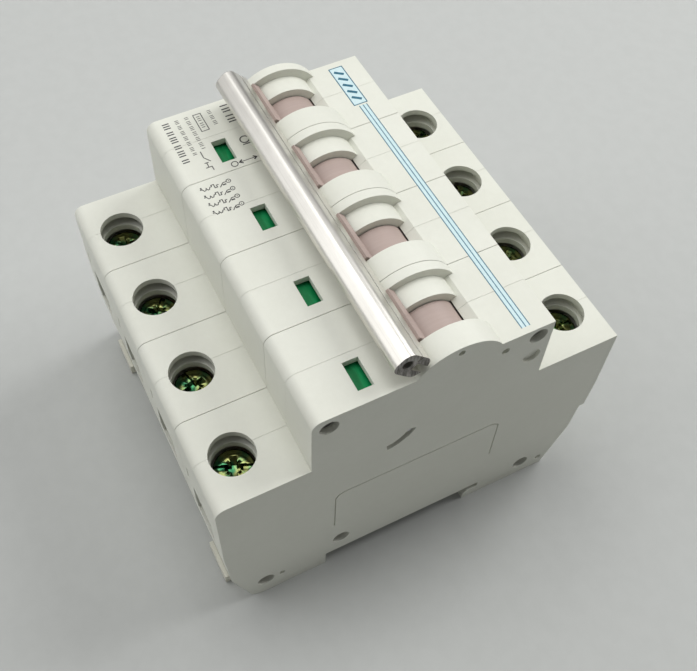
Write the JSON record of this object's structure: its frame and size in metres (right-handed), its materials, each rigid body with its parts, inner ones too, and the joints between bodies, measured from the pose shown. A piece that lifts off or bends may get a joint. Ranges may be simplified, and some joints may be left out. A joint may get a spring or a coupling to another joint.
{
  "type": "miniature circuit breaker",
  "caption": "Multi-pole miniature circuit breaker for a 35 mm rail, with a shared switching handle, screw terminals at both ends and a full switching and trip mechanism inside.",
  "frame": {"origin": "middle of the footprint on the rear plane on which the breaker lies", "axes": "+X across the poles, +Y towards the line terminals, +Z out of the rail towards the handle"},
  "size_m": [0.072, 0.079, 0.0673],
  "materials": {
    "case": "moulded, fine satin grain",
    "handle": "moulded, satin",
    "tie_bar": "drawn and brushed along its length",
    "indicator": "two colours, green and red, smooth",
    "clip": "moulded, satin",
    "screw_steel": "yellow zinc plating",
    "cage_steel": "pressed, zinc plated",
    "copper": "pressed copper strip",
    "contact": "copper with silver buttons",
    "winding": "enamelled copper wire",
    "bobbin": "moulded",
    "iron": "pressed sheet, zinc plated",
    "pin_steel": "ground",
    "rivet_steel": "dull, slightly tarnished",
    "bimetal": "rolled strip",
    "fibre": "pressed fibre board",
    "spring_steel": "drawn wire"
  },
  "bodies": {
    "case": {"arc_frames": "fibre", "arc_plates": "iron", "bimetals": "bimetal", "braids": "copper", "case_base_1": "case", "case_base_2": "case", "case_base_3": "case", "case_base_4": "case", "case_cover_1": "case", "case_cover_2": "case", "case_cover_3": "case", "case_cover_4": "case", "clip_springs": "spring_steel", "coil_bobbins": "bobbin", "coil_yokes": "iron", "contact_springs": "spring_steel", "fixed_contacts": "contact", "line_straps": "copper", "load_straps": "copper", "pivot_pins": "pin_steel", "rivets": "rivet_steel", "screw_guides": "case", "toggle_springs": "spring_steel", "trip_coils": "winding"},
    "handle": {"toggle_1": "handle", "toggle_2": "handle", "toggle_3": "handle", "toggle_4": "handle", "tie_bar": "tie_bar"},
    "links": {"toggle_links": "spring_steel"},
    "contact_arms": {"contact_arm_1": "contact", "contact_arm_2": "contact", "contact_arm_3": "contact", "contact_arm_4": "contact"},
    "flags": {"indicator_flag_1": "indicator", "indicator_flag_2": "indicator", "indicator_flag_3": "indicator", "indicator_flag_4": "indicator"},
    "plungers": {"magnet_plungers": "iron"},
    "trip_bar": {"trip_levers": "fibre", "trip_pin": "pin_steel"},
    "rail_clip_1": {"din_clip_1": "clip"},
    "rail_clip_2": {"din_clip_2": "clip"},
    "load_screw_body_1": {"load_screw_1": "screw_steel"},
    "load_cage_body_1": {"load_cage_1": "cage_steel"},
    "line_screw_body_1": {"line_screw_1": "screw_steel"},
    "line_cage_body_1": {"line_cage_1": "cage_steel"},
    "load_screw_body_2": {"load_screw_2": "screw_steel"},
    "load_cage_body_2": {"load_cage_2": "cage_steel"},
    "line_screw_body_2": {"line_screw_2": "screw_steel"},
    "line_cage_body_2": {"line_cage_2": "cage_steel"},
    "load_screw_body_3": {"load_screw_3": "screw_steel"},
    "load_cage_body_3": {"load_cage_3": "cage_steel"},
    "line_screw_body_3": {"line_screw_3": "screw_steel"},
    "line_cage_body_3": {"line_cage_3": "cage_steel"},
    "load_screw_body_4": {"load_screw_4": "screw_steel"},
    "load_cage_body_4": {"load_cage_4": "cage_steel"},
    "line_screw_body_4": {"line_screw_4": "screw_steel"},
    "line_cage_body_4": {"line_cage_4": "cage_steel"}
  },
  "joints": [
    {"name": "handle_turn", "type": "hinge", "parent": "case", "child": "handle", "pos_m": [0, 0.00435, 0.0545], "axis": [-1, 0, 0], "range_deg": [0, 78.4]},
    {"name": "link_turn", "type": "hinge", "parent": "handle", "child": "links", "pos_m": [0, 0.00705, 0.05128], "axis": [-1, 0, 0], "range_deg": [-107, 0]},
    {"name": "contact_arm_turn", "type": "hinge", "parent": "case", "child": "contact_arms", "pos_m": [0, 0.0065, 0.0405], "axis": [1, 0, 0], "range_deg": [0, 18.1]},
    {"name": "flag_turn", "type": "hinge", "parent": "case", "child": "flags", "pos_m": [0, -0.013, 0.0445], "axis": [-1, 0, 0], "range_deg": [0, 15.1]},
    {"name": "plunger_slide", "type": "slide", "parent": "case", "child": "plungers", "axis": [0, -1, 0], "range_m": [0, 0.00155], "stiffness_N_per_m": 150, "springref_m": -0.001},
    {"name": "trip_bar_turn", "type": "hinge", "parent": "case", "child": "trip_bar", "pos_m": [0, -0.00865, 0.0463], "axis": [-1, 0, 0], "range_deg": [0, 8.1]},
    {"name": "rail_clip_1_slide", "type": "slide", "parent": "case", "child": "rail_clip_1", "axis": [0, -1, 0], "range_m": [0, 0.0035], "stiffness_N_per_m": 800, "springref_m": -0.002, "deforming": ["clip_springs"]},
    {"name": "rail_clip_2_slide", "type": "slide", "parent": "case", "child": "rail_clip_2", "axis": [0, -1, 0], "range_m": [0, 0.0035], "stiffness_N_per_m": 800, "springref_m": -0.002},
    {"name": "load_screw_turn_1", "type": "hinge", "parent": "case", "child": "load_screw_body_1", "pos_m": [-0.0268, -0.03265, 0.0383], "axis": [0, 0, -1], "range_deg": [0, 2026]},
    {"name": "load_cage_lift_1", "type": "slide", "parent": "case", "child": "load_cage_body_1", "axis": [0, 0, 1], "range_m": [0, 0.0045]},
    {"name": "line_screw_turn_1", "type": "hinge", "parent": "case", "child": "line_screw_body_1", "pos_m": [-0.0268, 0.03335, 0.0383], "axis": [0, 0, -1], "range_deg": [0, 2026]},
    {"name": "line_cage_lift_1", "type": "slide", "parent": "case", "child": "line_cage_body_1", "axis": [0, 0, 1], "range_m": [0, 0.0045]},
    {"name": "load_screw_turn_2", "type": "hinge", "parent": "case", "child": "load_screw_body_2", "pos_m": [-0.0088, -0.03265, 0.0383], "axis": [0, 0, -1], "range_deg": [0, 2026]},
    {"name": "load_cage_lift_2", "type": "slide", "parent": "case", "child": "load_cage_body_2", "axis": [0, 0, 1], "range_m": [0, 0.0045]},
    {"name": "line_screw_turn_2", "type": "hinge", "parent": "case", "child": "line_screw_body_2", "pos_m": [-0.0088, 0.03335, 0.0383], "axis": [0, 0, -1], "range_deg": [0, 2026]},
    {"name": "line_cage_lift_2", "type": "slide", "parent": "case", "child": "line_cage_body_2", "axis": [0, 0, 1], "range_m": [0, 0.0045]},
    {"name": "load_screw_turn_3", "type": "hinge", "parent": "case", "child": "load_screw_body_3", "pos_m": [0.0092, -0.03265, 0.0383], "axis": [0, 0, -1], "range_deg": [0, 2026]},
    {"name": "load_cage_lift_3", "type": "slide", "parent": "case", "child": "load_cage_body_3", "axis": [0, 0, 1], "range_m": [0, 0.0045]},
    {"name": "line_screw_turn_3", "type": "hinge", "parent": "case", "child": "line_screw_body_3", "pos_m": [0.0092, 0.03335, 0.0383], "axis": [0, 0, -1], "range_deg": [0, 2026]},
    {"name": "line_cage_lift_3", "type": "slide", "parent": "case", "child": "line_cage_body_3", "axis": [0, 0, 1], "range_m": [0, 0.0045]},
    {"name": "load_screw_turn_4", "type": "hinge", "parent": "case", "child": "load_screw_body_4", "pos_m": [0.0272, -0.03265, 0.0383], "axis": [0, 0, -1], "range_deg": [0, 2026]},
    {"name": "load_cage_lift_4", "type": "slide", "parent": "case", "child": "load_cage_body_4", "axis": [0, 0, 1], "range_m": [0, 0.0045]},
    {"name": "line_screw_turn_4", "type": "hinge", "parent": "case", "child": "line_screw_body_4", "pos_m": [0.0272, 0.03335, 0.0383], "axis": [0, 0, -1], "range_deg": [0, 2026]},
    {"name": "line_cage_lift_4", "type": "slide", "parent": "case", "child": "line_cage_body_4", "axis": [0, 0, 1], "range_m": [0, 0.0045]}
  ],
  "couplings": [
    {"joint": "link_turn", "follows": "handle_turn", "ratio": -1.354},
    {"joint": "contact_arm_turn", "follows": "handle_turn", "ratio": 0.22959},
    {"joint": "flag_turn", "follows": "handle_turn", "ratio": 0.19133},
    {"joint": "trip_bar_turn", "follows": "plunger_slide", "rad_per_m": 90},
    {"joint": "load_screw_turn_1", "follows": "load_cage_lift_1", "rad_per_m": 7854},
    {"joint": "line_screw_turn_1", "follows": "line_cage_lift_1", "rad_per_m": 7854},
    {"joint": "load_screw_turn_2", "follows": "load_cage_lift_2", "rad_per_m": 7854},
    {"joint": "line_screw_turn_2", "follows": "line_cage_lift_2", "rad_per_m": 7854},
    {"joint": "load_screw_turn_3", "follows": "load_cage_lift_3", "rad_per_m": 7854},
    {"joint": "line_screw_turn_3", "follows": "line_cage_lift_3", "rad_per_m": 7854},
    {"joint": "load_screw_turn_4", "follows": "load_cage_lift_4", "rad_per_m": 7854},
    {"joint": "line_screw_turn_4", "follows": "line_cage_lift_4", "rad_per_m": 7854}
  ]
}
